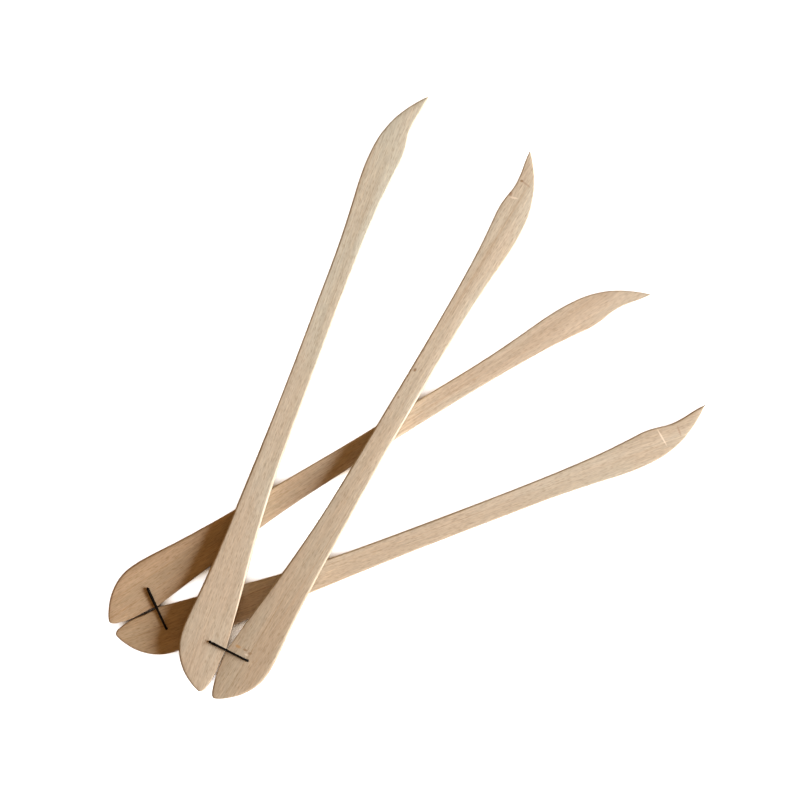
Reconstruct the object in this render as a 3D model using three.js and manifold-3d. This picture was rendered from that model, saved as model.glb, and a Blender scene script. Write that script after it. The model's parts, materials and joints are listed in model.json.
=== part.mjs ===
// Two pairs of flat hooked wooden blades, laid one across the other.
// Each pair is laced near its wide ends with one black elastic cord. The two blades bear on each
// other at a corner of their inner edges, rock there and pinch at their pointed tips.
// The rear pair lies flat. The front pair leans on the rear pair's upper edge, and the tip of its
// left blade comes down to the table.
// Millimetres and degrees, +Z up. The origin is the middle of the whole object's footprint.
import * as THREE from "three";
import { mergeVertices } from "three/addons/utils/BufferGeometryUtils.js";
import Module from "manifold-3d";

const wasm = await Module();
wasm.setup();

// ---- Driving dimensions ----
const THICKNESS = 5; // of every blade
const GAP = 0.3; // kept between pieces that touch
const FLOOR_GAP = 0.1; // under the tip that comes down to the table

const CORD_RADIUS = 0.5;
const CORD_BEND = 0.8; // where the cord turns down into its hole
const CORD_SEAM = 0.4; // between the two halves of a cord, at the line where the blades meet
const CORD_STEP = 0.4; // length of one step of a cord's tube
const HOLE_RADIUS = 0.8;

const GROOVE_WIDTH = 1.8; // in the underside, for the cord's way back
const GROOVE_DEPTH = 1.8;
const GROOVE_OVERRUN = 1; // past the line where the blades meet
const POCKET_RADIUS = 2; // in the underside, round the knot
const POCKET_DEPTH = 2.4;
const KNOT_RADIUS = 1.6;
const KNOT_HALF_HEIGHT = 0.9;

const OUTLINE_STEPS = 216; // points round one blade
const HOLE_HALF = 10; // straight sides in half of a hole's rim
const POCKET_SIDES = 28;
const CORD_HALF = 5; // straight sides in half of a cord's section
const KNOT_SIDES = 20;
const KNOT_RINGS = 14;

// A blade lies along x, from its bearing corner at the origin to its tip.
// Each point is [along, inward], and inward is towards the other blade of the pair.
const DRAWN_REACH = 259.9; // the reach that these points are drawn for
const TIP = [DRAWN_REACH, 0];
const HOOK = [
  [254.2, -0.9],
  [248.4, -2.15],
  [242.0, -2.75],
  [236.0, -2.1],
  [230.5, -1.85],
  [222.5, -2.75],
];
const BELLY_TO_NECK = [
  [209.8, -4.1],
  [188.0, -5.3],
  [157.0, -6.0],
  [113.0, -6.3],
  [86.6, -6.2],
  [68.9, -5.7],
  [46.4, -4.2],
  [24.3, -2.1],
  [10.0, -0.85],
];
const BEARING_CORNER = [
  [2.4, -0.2],
  [0.6, 0],
];
const landPoints = (setback) => [
  [-1.6, -0.16 - setback],
  [-5.8, -0.58 - setback],
  [-10.2, -1.05 - 0.6 * setback],
];
const LAND_HALF = 5; // half the length of the land
const BASE_LENGTH = 15; // from there to the end of the base
const BASE_AND_BACK = [
  [-14.1, -2.0],
  [-17.7, -3.05],
  [-19.9, -3.95],
  [-21.0, -5.3],
  [-20.3, -7.5],
  [-18.4, -10.4],
  [-15.5, -13.8],
  [-11.9, -16.8],
  [-7.7, -19.2],
  [-2.9, -20.7],
  [3.0, -21.15],
  [9.5, -20.85],
  [24.3, -19.5],
  [46.4, -18.2],
  [68.9, -17.4],
  [113.0, -16.0],
  [157.2, -15.4],
  [183.3, -15.2],
  [201.4, -15.75],
  [215.0, -16.4],
  [226.0, -16.15],
  [236.0, -14.6],
  [244.9, -11.3],
  [251.0, -7.6],
  [256.2, -3.5],
];

// A pair turns about its pivot, where the bearing corners meet. bearing is the direction that the
// pair points in, and opening is the angle between the lines from the pivot to the two tips.
// The blades are cut and sanded by hand, so no two are quite alike: reach is the length from the
// pivot to the tip, bow is how far the neck bends inward, and corner is how far the inner corner of
// the base is shifted inward. setback is how far the land behind the bearing corner is cut back.
// A hole is [along, inset] on its blade.
const REAR = {
  name: "rear",
  pivot: [0, 0],
  bearing: 26.28,
  opening: 11.95,
  setback: 0.45,
  reach: { left: 258.9, right: 258.7 },
  bow: { left: 0, right: 0 },
  corner: { left: 0, right: 0.9 },
  holes: { left: [1.3, 8.75], right: [1.0, 10.1] },
};
const FRONT = {
  name: "front",
  pivot: [31.31, -18.55],
  bearing: 64.36,
  opening: 11.11,
  setback: 0.1,
  reach: { left: 260.2, right: 258.2 },
  bow: { left: 0.3, right: 1.1 },
  corner: { left: 1.2, right: -0.8 },
  holes: { left: [1.0, 7.8], right: [1.0, 10.3] },
};
// Where the two front blades cross the outer edge of the rear left blade, as [along, inset] on it.
const LEAN_NEAR = [53, 17.9];
const LEAN_FAR = [133, 15.8];

// ---- Materials ----
const wood = (name, colour) =>
  new THREE.MeshStandardMaterial({ name, color: colour, roughness: 0.6, metalness: 0 });
const elastic = () =>
  new THREE.MeshStandardMaterial({ name: "cord", color: 0x0e0d0d, roughness: 0.75, metalness: 0 });
const BEECH = { rear: 0xd2b591, front: 0xcbb59b };

// ---- Booleans ----
function solidOf(geometry) {
  const bare = geometry.clone();
  bare.deleteAttribute("normal");
  bare.deleteAttribute("uv");
  const merged = mergeVertices(bare, 1e-4);
  return new wasm.Manifold(
    new wasm.Mesh({
      numProp: 3,
      vertProperties: merged.attributes.position.array,
      triVerts: new Uint32Array(merged.index.array),
    }),
  );
}

function geometryOf(solid) {
  const made = solid.getMesh();
  const geometry = new THREE.BufferGeometry();
  geometry.setAttribute("position", new THREE.BufferAttribute(made.vertProperties, 3));
  geometry.setIndex(new THREE.BufferAttribute(made.triVerts, 1));
  geometry.computeVertexNormals();
  return geometry;
}

// ---- Blades ----
// handed is 1 for the right blade, seen along the pair from its base, and -1 for the left one.
const handedness = { left: -1, right: 1 };
const radians = THREE.MathUtils.degToRad;

// The differences that one blade has from the drawn outline.
function handCut([along, inward], side, pair) {
  const fromPivot = THREE.MathUtils.clamp(along / DRAWN_REACH, 0, 1);
  const bow = pair.bow[side] * Math.sin(Math.PI * fromPivot);
  const nearBase = THREE.MathUtils.clamp((-along - LAND_HALF) / BASE_LENGTH, 0, 1);
  const nearInside = THREE.MathUtils.clamp(1 + inward / BASE_LENGTH, 0, 1);
  const corner = pair.corner[side] * nearBase * nearInside;
  return [(along * pair.reach[side]) / DRAWN_REACH, inward + bow + corner];
}

function bladeShape(side, pair, hole) {
  const handed = handedness[side];
  const points = [
    TIP,
    ...HOOK,
    ...BELLY_TO_NECK,
    ...BEARING_CORNER,
    ...landPoints(pair.setback),
    ...BASE_AND_BACK,
    TIP,
  ]
    .map((point) => handCut(point, side, pair))
    .map(([along, inward]) => new THREE.Vector3(along, handed * inward, 0));
  const edge = new THREE.CatmullRomCurve3(points, false, "centripetal").getPoints(OUTLINE_STEPS);
  edge.pop();
  const shape = new THREE.Shape(edge.map(({ x, y }) => new THREE.Vector2(x, y)));
  shape.holes.push(new THREE.Path().absarc(hole.x, hole.y, HOLE_RADIUS, 0, 2 * Math.PI));
  return shape;
}

// The place of a blade in its pair: turned out by half the opening, and half a gap off the middle.
function bladePlace(handed, pair) {
  const place = new THREE.Object3D();
  place.rotation.z = -handed * radians(pair.opening / 2);
  place.position.y = (-handed * GAP) / 2;
  place.updateMatrix();
  return place.matrix;
}

function holeOnBlade(side, pair) {
  const [along, inset] = pair.holes[side];
  return new THREE.Vector3(along, -handedness[side] * inset, 0);
}

// The groove runs from a hole to the seam, in line with the cord.
function grooveCutter(hole, seam) {
  const run = new THREE.Vector3().subVectors(seam, hole);
  const length = run.length() + GROOVE_OVERRUN;
  const box = new THREE.BoxGeometry(length, GROOVE_WIDTH, 2 * GROOVE_DEPTH);
  box.translate(length / 2, 0, 0);
  box.rotateZ(Math.atan2(run.y, run.x));
  box.translate(hole.x, hole.y, 0);
  return box;
}

function pocketCutter(hole) {
  const height = 2 * POCKET_DEPTH;
  const pocket = new THREE.CylinderGeometry(POCKET_RADIUS, POCKET_RADIUS, height, POCKET_SIDES);
  pocket.rotateX(Math.PI / 2);
  pocket.translate(hole.x, hole.y, 0);
  return pocket;
}

function makeBlade(side, pair, lacing) {
  const handed = handedness[side];
  const place = bladePlace(handed, pair);
  const toBlade = place.clone().invert();
  const hole = holeOnBlade(side, pair);
  const slab = new THREE.ExtrudeGeometry(bladeShape(side, pair, hole), {
    depth: THICKNESS,
    bevelEnabled: false,
    curveSegments: HOLE_HALF,
  });
  let solid = solidOf(slab).subtract(
    solidOf(grooveCutter(hole, lacing.seam.clone().applyMatrix4(toBlade))),
  );
  if (side === "right") solid = solid.subtract(solidOf(pocketCutter(hole)));
  const blade = new THREE.Mesh(geometryOf(solid), wood("beech_" + pair.name, BEECH[pair.name]));
  blade.name = pair.name + "_blade_" + side;
  blade.applyMatrix4(place);
  return blade;
}

// ---- Cord ----
// One cord goes over the top from hole to hole, down through both, and back along the underside
// to a knot under the right blade's hole. It is split at the seam, so that each half keeps to its blade.
const CORD_TOP = THICKNESS + GAP + CORD_RADIUS;
const CORD_UNDER = GAP + CORD_RADIUS;
const KNOT_HEIGHT = KNOT_HALF_HEIGHT + GAP;

function lacingOf(pair) {
  const [left, right] = ["left", "right"].map((side) =>
    holeOnBlade(side, pair).applyMatrix4(bladePlace(handedness[side], pair)),
  );
  const seam = left.clone().lerp(right, left.y / (left.y - right.y));
  return { left, right, seam };
}

const raised = (point, z) => new THREE.Vector3(point.x, point.y, z);

// A line through corners, each rounded by a short curve.
function roundedPath(corners, bend) {
  const path = new THREE.CurvePath();
  let from = corners[0];
  corners.slice(1, -1).forEach((corner, i) => {
    const before = corner.clone().add(from.clone().sub(corner).setLength(bend));
    const after = corner.clone().add(corners[i + 2].clone().sub(corner).setLength(bend));
    path.add(new THREE.LineCurve3(from, before));
    path.add(new THREE.QuadraticBezierCurve3(before, corner, after));
    from = after;
  });
  path.add(new THREE.LineCurve3(from, corners.at(-1)));
  return path;
}

function tube(path) {
  const section = new THREE.Shape().absarc(0, 0, CORD_RADIUS, 0, 2 * Math.PI);
  return new THREE.ExtrudeGeometry(section, {
    extrudePath: path,
    steps: Math.ceil(path.getLength() / CORD_STEP),
    curveSegments: CORD_HALF,
  });
}

function makeCord(pair, lacing) {
  const alongSpan = lacing.left.clone().sub(lacing.right).normalize();
  const leftEnd = lacing.seam.clone().addScaledVector(alongSpan, CORD_SEAM / 2);
  const rightEnd = lacing.seam.clone().addScaledVector(alongSpan, -CORD_SEAM / 2);
  const { left, right } = lacing;

  const leftHalf = tube(
    roundedPath(
      [
        raised(leftEnd, CORD_TOP),
        raised(left, CORD_TOP),
        raised(left, CORD_UNDER),
        raised(leftEnd, CORD_UNDER),
      ],
      CORD_BEND,
    ),
  );
  const rightHalf = tube(
    roundedPath(
      [
        raised(rightEnd, CORD_TOP),
        raised(right, CORD_TOP),
        raised(right, KNOT_HEIGHT + KNOT_HALF_HEIGHT + GAP),
      ],
      CORD_BEND,
    ),
  );
  const knot = new THREE.SphereGeometry(1, KNOT_SIDES, KNOT_RINGS);
  knot.scale(KNOT_RADIUS, KNOT_RADIUS, KNOT_HALF_HEIGHT);
  knot.translate(right.x, right.y, KNOT_HEIGHT);
  const wayBack = tube(
    new THREE.LineCurve3(raised(right, CORD_UNDER), raised(rightEnd, CORD_UNDER)),
  );
  const tie = geometryOf(solidOf(knot).add(solidOf(wayBack)));

  return Object.entries({ left: leftHalf, right: rightHalf, tie }).map(([name, geometry]) => {
    const piece = new THREE.Mesh(geometry, elastic());
    piece.name = pair.name + "_cord_" + name;
    return piece;
  });
}

// ---- Pairs ----
function makePair(pair) {
  const lacing = lacingOf(pair);
  const group = new THREE.Group();
  group.add(makeBlade("left", pair, lacing), makeBlade("right", pair, lacing));
  group.add(...makeCord(pair, lacing));
  group.rotation.z = radians(pair.bearing);
  group.position.set(...pair.pivot, 0);
  group.updateMatrix();
  return group;
}

const rearPair = makePair(REAR);
const frontPair = makePair(FRONT);

// The line that the front pair leans on, over the upper edge of the rear left blade.
function leanPoint([along, inset]) {
  return new THREE.Vector3(along, inset, THICKNESS + GAP)
    .applyMatrix4(bladePlace(handedness.left, REAR))
    .applyMatrix4(rearPair.matrix);
}
const leanStart = leanPoint(LEAN_NEAR);
const leanAxis = leanPoint(LEAN_FAR).sub(leanStart).normalize();
const leftTip = new THREE.Vector3(FRONT.reach.left, 0, THICKNESS + GAP)
  .applyMatrix4(bladePlace(handedness.left, FRONT))
  .applyMatrix4(frontPair.matrix);
const tipReach = new THREE.Vector3().subVectors(leftTip, leanStart).cross(leanAxis).length();
const leanAngle = Math.asin((THICKNESS + GAP - FLOOR_GAP) / tipReach);

const lean = new THREE.Group();
frontPair.position.sub(raised(leanStart, 0));
lean.add(frontPair);
lean.position.copy(leanStart);
lean.quaternion.setFromAxisAngle(leanAxis, -leanAngle);

// ---- Whole object, moved so that the middle of its footprint is the origin ----
const model = new THREE.Group();
const laid = new THREE.Group();
laid.add(rearPair, lean);
model.add(laid);
model.updateMatrixWorld(true);
const extent = new THREE.Box3().setFromObject(model, true);
const middle = extent.getCenter(new THREE.Vector3());
laid.position.set(-middle.x, -middle.y, -extent.min.z);

export default model;
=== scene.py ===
# %% [markdown]
# # Two pairs of laced beech blades
# Each pair is two flat, hooked blades of beech. A black elastic cord ties them together near their
# wide ends, so that they rock on a corner and pinch at their points. One pair lies across the other.
# The imported model already fixes every size and every joint, so the lesson starts by loading it.

# %% Load the model
import json
import math

import bmesh
import bpy
import numpy as np
from mathutils import Matrix, Vector
from mathutils.kdtree import KDTree


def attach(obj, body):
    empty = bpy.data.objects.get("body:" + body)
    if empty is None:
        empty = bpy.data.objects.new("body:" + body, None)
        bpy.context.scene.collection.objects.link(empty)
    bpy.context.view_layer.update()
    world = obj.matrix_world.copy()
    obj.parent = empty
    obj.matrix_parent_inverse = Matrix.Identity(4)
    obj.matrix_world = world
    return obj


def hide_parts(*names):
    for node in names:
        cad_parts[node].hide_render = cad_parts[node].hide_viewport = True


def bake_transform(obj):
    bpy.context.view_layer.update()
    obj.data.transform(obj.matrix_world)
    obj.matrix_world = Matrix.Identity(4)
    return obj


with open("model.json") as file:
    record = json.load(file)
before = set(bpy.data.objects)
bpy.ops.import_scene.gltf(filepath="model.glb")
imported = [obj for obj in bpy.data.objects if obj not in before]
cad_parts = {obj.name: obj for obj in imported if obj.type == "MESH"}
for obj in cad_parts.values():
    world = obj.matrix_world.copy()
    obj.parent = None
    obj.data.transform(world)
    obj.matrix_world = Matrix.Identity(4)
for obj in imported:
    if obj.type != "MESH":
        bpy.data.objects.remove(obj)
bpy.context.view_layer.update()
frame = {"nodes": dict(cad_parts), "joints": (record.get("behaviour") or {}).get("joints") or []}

MM = 0.001

# %% [markdown]
# ## Camera
# Flat things are best shown from straight above, where their outlines are true. A long lens held
# high keeps the sides of the blades from leaning outwards. The width that should be seen at the
# height of the blades gives the lens.

# %% Camera
CAMERA_PLACE = Vector((-3.07, -1.34, 1600.0)) * MM
BLADE_TOP = 5 * MM
SEEN_WIDTH = 353.28 * MM


def placed(name, data):
    """A new object in the scene."""
    thing = bpy.data.objects.new(name, data)
    bpy.context.scene.collection.objects.link(thing)
    return thing


camera = placed("camera", bpy.data.cameras.new("camera"))
camera.location = CAMERA_PLACE
camera.data.lens = camera.data.sensor_width * (CAMERA_PLACE.z - BLADE_TOP) / SEEN_WIDTH
camera.data.clip_end = 10
bpy.context.scene.camera = camera
print("lens in mm:", round(camera.data.lens, 1))

# %% [markdown]
# ## Helpers for materials
# A material in Blender is a tree of nodes, and written out in full every node takes several lines.
# Four helpers keep it short: one starts a material, one makes a node and fills in its sockets, one
# does sums, and one moves a value softly from one range to another.

# %% Helpers for materials
def new_material(name):
    material = bpy.data.materials.new(name)
    material.use_nodes = True
    return material, material.node_tree, material.node_tree.nodes["Principled BSDF"]


def add_node(tree, kind, values=None, **settings):
    """A new node. values fills its sockets, either with a number or from another node's socket."""
    node = tree.nodes.new(kind)
    for name, value in settings.items():
        setattr(node, name, value)
    for name, value in (values or {}).items():
        socket = node.inputs[name]
        if isinstance(value, bpy.types.NodeSocket):
            tree.links.new(value, socket)
        else:
            socket.default_value = value
    return node


def maths(tree, operation, a, b=0.0):
    return add_node(tree, "ShaderNodeMath", {0: a, 1: b}, operation=operation).outputs[0]


def between(tree, value, low, high, to_low=0.0, to_high=1.0):
    """Moves value from the range low..high to the other range, softly."""
    values = {"Value": value, "From Min": low, "From Max": high, "To Min": to_low, "To Max": to_high}
    node = add_node(tree, "ShaderNodeMapRange", values, interpolation_type="SMOOTHSTEP")
    return node.outputs["Result"]


print("helpers: new_material, add_node, maths, between")

# %% [markdown]
# ## Floor
# The tools lie on a plain white sheet. Near the tools it is matt, and further out it shines a little
# by itself, so that it has no visible end. In a narrow slit between two blades a real sheet looks
# almost black. This one is lit so strongly that it would stay white there, so it measures how much
# open sky it sees and darkens its own paint. It throws no light back on the wood, because that would
# wash out the dark lines along the far edges.

# %% Floor
FLOOR_HALF = 5.0
FLOOR_SQUARES = 8
FLOOR_PAINT = (0.9, 0.9, 0.9)
MATT_REACH = 0.25  # out to here the sheet doesn't shine
SHINE_REACH = 0.9
SKY_REACH = 20 * MM  # how far up a point of the sheet looks for wood
SKY_RAYS = 40
# Painted shade on the sheet, from its open sky: near black in a slit, warm where wood throws light back,
# white in the open.
SLIT_SHADES = (  # share of open sky, and the colour of the sheet under it
    (0.13, (0.02, 0.011, 0.006)),
    (0.19, (0.72, 0.63, 0.51)),
    (0.32, FLOOR_PAINT),
)


def as_mesh(name, shape):
    mesh = bpy.data.meshes.new(name)
    shape.to_mesh(mesh)
    shape.free()
    return mesh


def stage_piece(name, build):
    """A piece of the setting, with its own white material."""
    shape = bmesh.new()
    build(shape)
    piece = placed(name, as_mesh(name, shape))
    material, tree, surface = new_material(name + "_white")
    piece.data.materials.append(material)
    surface.inputs["Roughness"].default_value = 1.0
    surface.inputs["Specular IOR Level"].default_value = 0.0
    surface.inputs["Emission Color"].default_value = (1, 1, 1, 1)
    piece.visible_diffuse = False
    piece.visible_glossy = False
    return piece, tree, surface


def floor_grid(shape):
    bmesh.ops.create_grid(shape, x_segments=FLOOR_SQUARES, y_segments=FLOOR_SQUARES, size=FLOOR_HALF)


floor, tree, surface = stage_piece("floor", floor_grid)
sky = add_node(tree, "ShaderNodeAmbientOcclusion", {"Distance": SKY_REACH}, samples=SKY_RAYS)
paint = add_node(tree, "ShaderNodeValToRGB", {"Fac": sky.outputs["AO"]})
shades = paint.color_ramp.elements
shades.new(0.5)
for shade, (share, colour) in zip(shades, SLIT_SHADES):
    shade.position = share
    shade.color = (*colour, 1)
tree.links.new(paint.outputs["Color"], surface.inputs["Base Color"])
place = add_node(tree, "ShaderNodeTexCoord").outputs["Object"]
far = add_node(tree, "ShaderNodeVectorMath", {0: place}, operation="LENGTH").outputs["Value"]
tree.links.new(between(tree, far, MATT_REACH, SHINE_REACH), surface.inputs["Emission Strength"])
print("floor:", 2 * FLOOR_HALF, "m wide, with", len(shades), "shades of open sky")

# %% [markdown]
# ## Backdrop
# A studio hangs paper behind the table. That serves one direction, and these tools are looked at
# from every side, so the backdrop is a large sphere. It shines evenly by itself and lights nothing.

# %% Backdrop
BACKDROP_RADIUS = 7.0


def backdrop_sphere(shape):
    bmesh.ops.create_uvsphere(shape, u_segments=48, v_segments=24, radius=BACKDROP_RADIUS)


backdrop, tree, surface = stage_piece("backdrop", backdrop_sphere)
surface.inputs["Base Color"].default_value = (0, 0, 0, 1)
surface.inputs["Emission Strength"].default_value = 1.0
backdrop.visible_shadow = False
print("backdrop:", 2 * BACKDROP_RADIUS, "m across")

# %% [markdown]
# ## Window and room
# The light that models the wood is one wide, low window at the right. Because it is low, edges that
# face it light up, edges that face away go dark, and the upper pair throws long soft shadows to the
# left across the lower pair. An area light gives such soft shadows, and a point light would not. The
# rest of the room gives only a little warm light, and that fills the shadows.

# %% Window and room
WINDOW_BEARING = math.radians(-12)  # from +X, anticlockwise seen from above
WINDOW_RISE = math.radians(20)
WINDOW_DISTANCE = 2.4
WINDOW_SIZE = (1.8, 1.4)
WINDOW_WATTS = 157
ROOM_LIGHT = (0.285, 0.155, 0.060)


def area_light(name, place, size, watts):
    """A white rectangular lamp that faces the tools."""
    lamp = bpy.data.lights.new(name, "AREA")
    lamp.shape = "RECTANGLE"
    lamp.size, lamp.size_y = size
    lamp.energy = watts
    holder = placed(name, lamp)
    holder.location = place
    holder.rotation_euler = place.to_track_quat("Z", "Y").to_euler()
    holder.visible_camera = False
    return holder


window_place = Vector((math.cos(WINDOW_BEARING), math.sin(WINDOW_BEARING), math.tan(WINDOW_RISE)))
window_place = WINDOW_DISTANCE * window_place.normalized()
window = area_light("window", window_place, WINDOW_SIZE, WINDOW_WATTS)

room = bpy.data.worlds.new("room")
room.use_nodes = True
room.node_tree.nodes["Background"].inputs["Color"].default_value = (*ROOM_LIGHT, 1)
bpy.context.scene.world = room
bpy.context.scene.view_settings.view_transform = "Standard"
print("window stands at", [round(x, 2) for x in window_place], "m")

# %% [markdown]
# ## The sheet's own lamp
# A studio lights the paper apart from the thing on it, so that the paper stays white while the
# thing keeps its shadows. Here a lamp overhead is linked to the sheet and lights nothing else.

# %% The sheet's own lamp
SHEET_LAMP_HEIGHT = 2.2
SHEET_LAMP_SIZE = (4.5, 4.5)
SHEET_LAMP_WATTS = 240

lamp_place = Vector((0, 0, SHEET_LAMP_HEIGHT))
sheet_lamp = area_light("sheet_lamp", lamp_place, SHEET_LAMP_SIZE, SHEET_LAMP_WATTS)
lit_by_sheet_lamp = bpy.data.collections.new("lit_by_sheet_lamp")
lit_by_sheet_lamp.objects.link(floor)
sheet_lamp.light_linking.receiver_collection = lit_by_sheet_lamp

# %% [markdown]
# ## Where each blade lies
# A blade is easiest to shape along its own length. Its own axes start at the corner on which it
# rocks: x runs to the tip, y runs across, and z stands out of its face. The model's joints give the
# corner and the upright, and the corner's furthest point is the tip. The wood's grain will use the
# same axes, so it runs true along each blade and stays with it when the blade moves.

# %% Axes of a blade
PAIR_JOINTS = {"rear": "rear_pinch", "front": "front_pinch"}
SIDES = ("left", "right")
joints = {joint["name"]: joint for joint in frame["joints"]}


def blade_axes(node, joint):
    corner = Vector(joint["pos_m"])
    up = Vector(joint["axis"]).normalized()
    reach = [vertex.co - corner for vertex in frame["nodes"][node].data.vertices]
    along = max(reach, key=lambda line: line.length)
    along = (along - up * along.dot(up)).normalized()
    across = up.cross(along)
    return Matrix.Translation(corner) @ Matrix((along, across, up)).transposed().to_4x4()


axes = {
    f"{pair}_blade_{side}": blade_axes(f"{pair}_blade_{side}", joints[name])
    for pair, name in PAIR_JOINTS.items()
    for side in SIDES
}
for node, place in axes.items():
    print(node, "starts at", [round(x / MM, 1) for x in place.translation])

# %% [markdown]
# ## The rim of a blade
# The model's blade is a plain slab, and the rim of its upper face is the true outline. Drawn again
# by hand it would drift from the model, so it is found in the mesh: an edge that only one of the
# face's triangles uses lies on a rim. Those edges join into two loops: the long one is the outline,
# and the short one is the mouth of the cord hole.

# %% Find the rims of the upper face
SAME = 1e-6  # metres within which two heights or lengths are the same
PLACE_STEP = 10 * SAME  # corners nearer than this are one corner


def face_loops(node, place):
    """The rims of the blade's upper face, as points along and across the blade, and its height."""
    mesh = frame["nodes"][node].data
    mesh.calc_loop_triangles()
    inverse = place.inverted()
    local = [inverse @ vertex.co for vertex in mesh.vertices]
    top = max(point.z for point in local)
    key = [(round(p.x / PLACE_STEP), round(p.y / PLACE_STEP)) for p in local]
    uses = {}
    for triangle in mesh.loop_triangles:
        corners = triangle.vertices
        if all(top - local[i].z < PLACE_STEP for i in corners):
            for a, b in zip(corners, (*corners[1:], corners[0])):
                edge = frozenset((key[a], key[b]))
                uses[edge] = uses.get(edge, 0) + 1
    beside = {}
    for edge in (tuple(edge) for edge, count in uses.items() if count == 1):
        for a, b in (edge, edge[::-1]):
            beside.setdefault(a, []).append(b)
    loops = []
    while beside:
        start = last = next(iter(beside))
        loop = []
        while last in beside:
            onward = beside.pop(last)
            loop.append(last)
            last = next((point for point in onward if point in beside), start)
        loops.append(np.array(loop, float) * PLACE_STEP)
    return sorted(loops, key=len, reverse=True), top


rims = {node: face_loops(node, place) for node, place in axes.items()}
for node, (loops, thickness) in rims.items():
    print(node, "has rims of", [len(loop) for loop in loops], "corners and is", round(thickness / MM, 2))

# %% [markdown]
# ## A smooth outline
# The model's rim has short straight sides, and low light would show each one as a facet. Subdividing
# the slab would round its tip away. So a smooth line is run through the rim's own corners. It starts
# and ends at the tip, and so the tip is the only sharp point.

# %% Smooth outlines and cord holes
RIM_STEP = 0.15 * MM


def smooth_line(points, step):
    """A smooth line through the points, in steps of about the given length."""
    runs = np.diff(points, axis=0)
    gaps = np.linalg.norm(runs, axis=1)[:, None]
    slopes = runs / gaps
    inside = (slopes[:-1] * gaps[1:] + slopes[1:] * gaps[:-1]) / (gaps[:-1] + gaps[1:])
    tangents = np.vstack([slopes[:1], inside, slopes[-1:]])
    line = []
    for p, q, m, n, gap in zip(points, points[1:], tangents, tangents[1:], gaps):
        t = np.linspace(0, 1, max(2, math.ceil(gap[0] / step) + 1))[:-1, None]
        line.append(
            (2 * t**3 - 3 * t**2 + 1) * p
            + (t**3 - 2 * t**2 + t) * gap * m
            + (3 * t**2 - 2 * t**3) * q
            + (t**3 - t**2) * gap * n
        )
    return np.vstack([*line, points[-1:]])


outlines = {}
for node, ((rim, mouth), thickness) in rims.items():
    rim = np.roll(rim, -int(rim[:, 0].argmax()), axis=0)
    outlines[node] = {
        "rim": smooth_line(np.vstack([rim, rim[:1]]), RIM_STEP),
        "hole": mouth.mean(axis=0),
        "thickness": thickness,
    }
    size = outlines[node]["rim"].max(axis=0) - outlines[node]["rim"].min(axis=0)
    print(node, "length and depth in mm:", (size / MM).round(1))

# %% [markdown]
# ## How deep a point lies
# A maker rounds the sharp edges of a blade, which are called arrises, with a file and paper until
# they feel soft. A bevel tool would try to round the thin hooked point as much as the wide base and
# would fold over itself there. Here each point of the face instead asks how far it is from the
# outline, and its height follows from that. At the point the two rounded edges then meet in a ridge.

# %% How deep a point lies inside the outline
def depth_inside(points, rim):
    """How far each point is from the closed line rim."""
    tree = KDTree(len(rim))
    for i, (x, y) in enumerate(rim):
        tree.insert((x, y, 0), i)
    tree.balance()
    nearest = np.array([tree.find((x, y, 0))[1] for x, y in points])
    found = np.full(len(points), np.inf)
    for start in (nearest - 1, nearest):
        a = rim[start % len(rim)]
        b = rim[(start + 1) % len(rim)]
        run = b - a
        length = np.maximum((run**2).sum(axis=1), SAME**2)
        share = np.clip(((points - a) * run).sum(axis=1) / length, 0, 1)
        found = np.minimum(found, np.linalg.norm(points - a - share[:, None] * run, axis=1))
    return found


for node, outline in outlines.items():
    wall = depth_inside(outline["hole"][None], outline["rim"])[0]
    print(node, "has", round(wall / MM, 1), "mm of wood beside the middle of its hole")

# %% [markdown]
# ## The height of the face
# Near the outline the face follows a quarter circle down, and further in it stays almost flat. The
# rounding of handwork is never quite even, so it wanders a little, and it is finer at the tip. Where
# two blades bear on each other the edge stays crisp. The face also sinks a hair towards its edges and
# has the slight hollows that sanding by hand leaves.

# %% The height of the face
HAIR = 0.04 * MM  # kept inside the model's slab
ARRIS_AT_BASE = 0.95 * MM
ARRIS_AT_TIP = 0.5 * MM
TIP_AT = 250 * MM
ARRIS_VARIES = 0.16
LONG_WANDER = 23 * MM
SHORT_WANDER = 9 * MM
SHORT_SHARE = 0.6
LAND_REACH = 24 * MM  # the edges that meet their partner stay crisp
LAND_ARRIS = 0.2
CROWN = 0.10 * MM  # how far the face sinks at its edges
CROWN_REACH = 4 * MM
HOLLOW = 0.02 * MM
HOLLOW_RUN = 14 * MM


def arris_size(along, across, seed):
    """How wide the rounding is here: less towards the tip, and least where two blades meet."""
    wander = np.sin(along / LONG_WANDER + seed) + SHORT_SHARE * np.sin(along / SHORT_WANDER + 2.1 * seed)
    wide = np.interp(along, (0, TIP_AT), (ARRIS_AT_BASE, ARRIS_AT_TIP))
    land = np.exp(-((along**2 + (2 * across) ** 2) / LAND_REACH**2))
    return wide * (1 + ARRIS_VARIES * wander / (1 + SHORT_SHARE)) * (1 - (1 - LAND_ARRIS) * land)


def face_height(along, across, depth, thickness, seed):
    """The height of the upper face, measured from the middle of the blade's thickness."""
    arris = arris_size(along, across, seed)
    short = np.clip(arris - depth, 0, None)
    fall = arris - np.sqrt(arris**2 - short**2)
    sink = CROWN * np.clip(1 - depth / CROWN_REACH, 0, 1) ** 2
    ripple = 1 + np.sin(along / HOLLOW_RUN + 3.3 * seed)
    hollow = HOLLOW * ripple * np.clip(depth / arris, 0, 1)
    return thickness / 2 - HAIR - fall - sink - hollow


for name, along in (("bearing corner", 0.0), ("middle", TIP_AT / 2), ("tip", TIP_AT)):
    print("the arris at the", name, "is", round(float(arris_size(along, 0.0, 0.0)) / MM, 2), "mm")

# %% [markdown]
# ## Ribs of a blade
# The blade's mesh is a row of rings, like ribs along a boat. Each ring crosses the upper face, goes
# down the side, comes back under, and goes up again. Rings crowd together at both ends, where the
# outline turns quickly, and the points of a ring crowd towards the edges, where the arris curves.

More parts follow.
